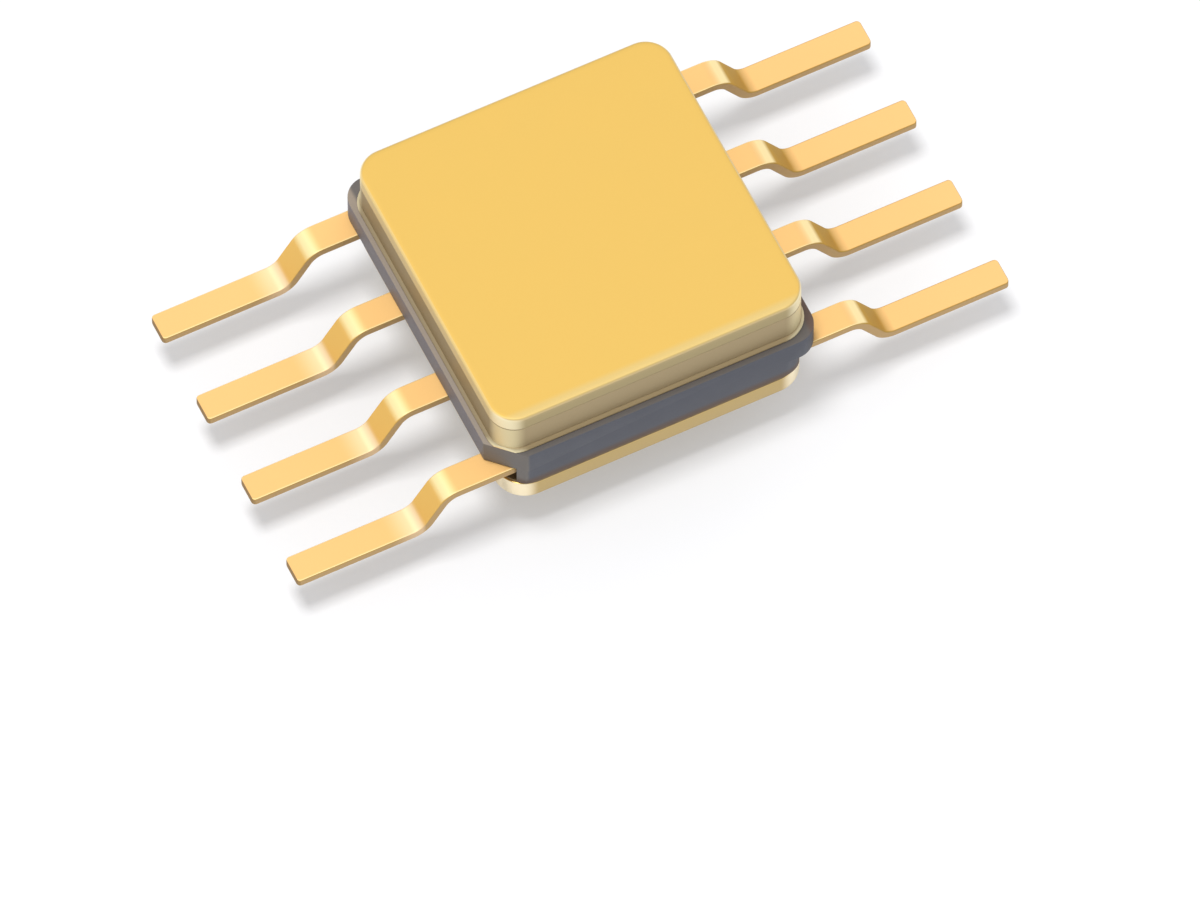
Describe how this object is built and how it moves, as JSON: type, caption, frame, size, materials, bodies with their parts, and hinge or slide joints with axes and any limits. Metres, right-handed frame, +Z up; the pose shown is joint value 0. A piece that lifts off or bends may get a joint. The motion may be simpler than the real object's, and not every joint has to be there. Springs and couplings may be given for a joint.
{
  "type": "integrated circuit",
  "caption": "Small hermetic ceramic flat pack with a gold-plated lid, seal ring and base plate, and flat gull-wing leads along two sides for surface mounting.",
  "frame": {"origin": "centre of the package in plan, on the plane that the lead feet stand on", "axes": "+X along the leads, +Y along the lead pitch, +Z up through the lid"},
  "size_m": [0.0096, 0.0044, 0.0018],
  "materials": {
    "gold_plate": "satin",
    "ceramic": "matt",
    "braze": "dull",
    "solder": "dull",
    "trace_metal": "satin",
    "wire_metal": "bright",
    "silicon": "polished"
  },
  "bodies": {
    "root": {"base_braze": "braze", "base_plate": "gold_plate", "bond_pads": "wire_metal", "ceramic_body": "ceramic", "die": "silicon", "die_attach": "solder", "lead_1": "gold_plate", "lead_2": "gold_plate", "lead_3": "gold_plate", "lead_4": "gold_plate", "lead_5": "gold_plate", "lead_6": "gold_plate", "lead_7": "gold_plate", "lead_8": "gold_plate", "lid": "gold_plate", "lid_seal": "solder", "ring_braze": "braze", "seal_ring": "gold_plate", "trace_1": "trace_metal", "trace_2": "trace_metal", "trace_3": "trace_metal", "trace_4": "trace_metal", "trace_5": "trace_metal", "trace_6": "trace_metal", "trace_7": "trace_metal", "trace_8": "trace_metal", "wire_1": "wire_metal", "wire_2": "wire_metal", "wire_3": "wire_metal", "wire_4": "wire_metal", "wire_5": "wire_metal", "wire_6": "wire_metal", "wire_7": "wire_metal", "wire_8": "wire_metal"}
  },
  "joints": []
}
